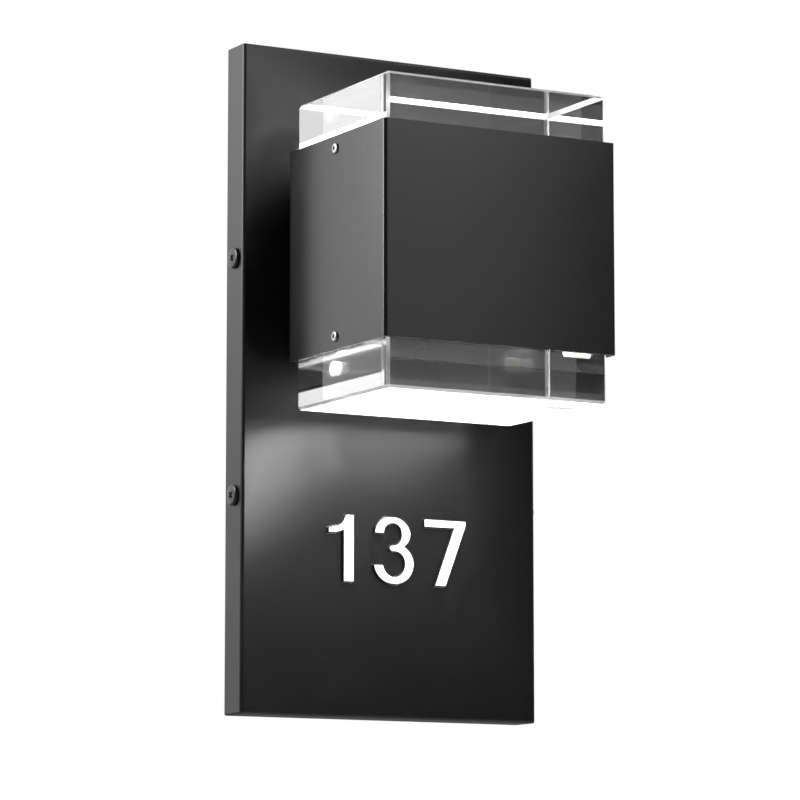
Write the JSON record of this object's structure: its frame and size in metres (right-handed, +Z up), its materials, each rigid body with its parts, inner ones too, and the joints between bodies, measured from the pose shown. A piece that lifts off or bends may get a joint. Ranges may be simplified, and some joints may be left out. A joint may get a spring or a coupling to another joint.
{
  "type": "room number wall light",
  "caption": "Wall light with a lit room number: folded back plate on a wall bracket, square head with a clear light block above and below, raised lit digits.",
  "frame": {"origin": "on the wall plane, at the centre of the wall bracket's box-screw slots and cable hole, which is the centre of the back plate", "axes": "+X to the right as seen from the room, +Y into the wall, +Z up; the light faces -Y"},
  "size_m": [0.156, 0.1172, 0.3048],
  "materials": {
    "black_powder_coat": "satin black polyester powder coat",
    "clear_acrylic": "flame-polished clear cast acrylic",
    "opal_acrylic": "opal white acrylic, satin",
    "lit_opal": "opal white acrylic, lit from behind",
    "zinc_steel": "zinc plated",
    "black_screw": "black oxide",
    "stainless": "plain stainless steel",
    "cast_tray": "as-cast aluminium",
    "white_board": "white solder mask",
    "phosphor": "phosphor-filled silicone",
    "black_foam": "closed-cell foam",
    "black_silicone": "black silicone",
    "black_nylon": "moulded nylon",
    "white_nylon": "moulded natural white nylon",
    "white_plastic": "moulded white ABS",
    "driver_case": "moulded flame-retardant plastic",
    "lead_insulation": "PVC insulation",
    "earth_insulation": "green PVC insulation",
    "green_steel": "green dyed zinc plate",
    "brass_lug": "tinned brass"
  },
  "bodies": {
    "root": {"back_plate": "black_powder_coat", "wall_seal": "black_foam", "wall_bracket": "zinc_steel", "bracket_weld_nuts": "zinc_steel", "earth_screw": "green_steel", "earth_ring": "brass_lug", "earth_lead": "earth_insulation", "head_sleeve": "black_powder_coat", "neck_spacer": "black_powder_coat", "neck_screws": "zinc_steel", "neck_nuts": "zinc_steel", "wire_bushing": "black_nylon", "block_inserts": "white_nylon", "block_screws": "stainless", "tray_posts": "stainless", "post_screws": "zinc_steel", "led_driver": "driver_case", "driver_screws": "zinc_steel", "terminal_block": "white_plastic", "terminal_screws": "brass_lug", "supply_leads": "lead_insulation", "top_board_leads": "lead_insulation", "bottom_board_leads": "lead_insulation", "number_leads": "lead_insulation", "digit_one": "lit_opal", "digit_three": "lit_opal", "digit_seven": "lit_opal", "number_box": "white_plastic", "plate_studs": "zinc_steel", "stud_nuts": "zinc_steel", "number_diffuser": "opal_acrylic", "number_led_board": "white_board", "number_leds": "phosphor", "top_block": "clear_acrylic", "top_block_seal": "black_silicone", "top_tray": "cast_tray", "top_led_board": "white_board", "top_leds": "phosphor", "top_diffuser": "lit_opal", "bottom_block": "clear_acrylic", "bottom_block_seal": "black_silicone", "bottom_tray": "cast_tray", "bottom_led_board": "white_board", "bottom_leds": "phosphor", "bottom_diffuser": "lit_opal"},
    "side_screw_upper_left": {"side_screw_upper_left": "black_screw"},
    "side_screw_upper_right": {"side_screw_upper_right": "black_screw"},
    "side_screw_lower_left": {"side_screw_lower_left": "black_screw"},
    "side_screw_lower_right": {"side_screw_lower_right": "black_screw"}
  },
  "joints": [
    {"name": "side_screw_upper_left_travel", "type": "slide", "parent": "root", "child": "side_screw_upper_left", "axis": [-1, 0, 0], "range_m": [0, 0.006]},
    {"name": "side_screw_upper_right_travel", "type": "slide", "parent": "root", "child": "side_screw_upper_right", "axis": [1, 0, 0], "range_m": [0, 0.006]},
    {"name": "side_screw_lower_left_travel", "type": "slide", "parent": "root", "child": "side_screw_lower_left", "axis": [-1, 0, 0], "range_m": [0, 0.006]},
    {"name": "side_screw_lower_right_travel", "type": "slide", "parent": "root", "child": "side_screw_lower_right", "axis": [1, 0, 0], "range_m": [0, 0.006]}
  ]
}
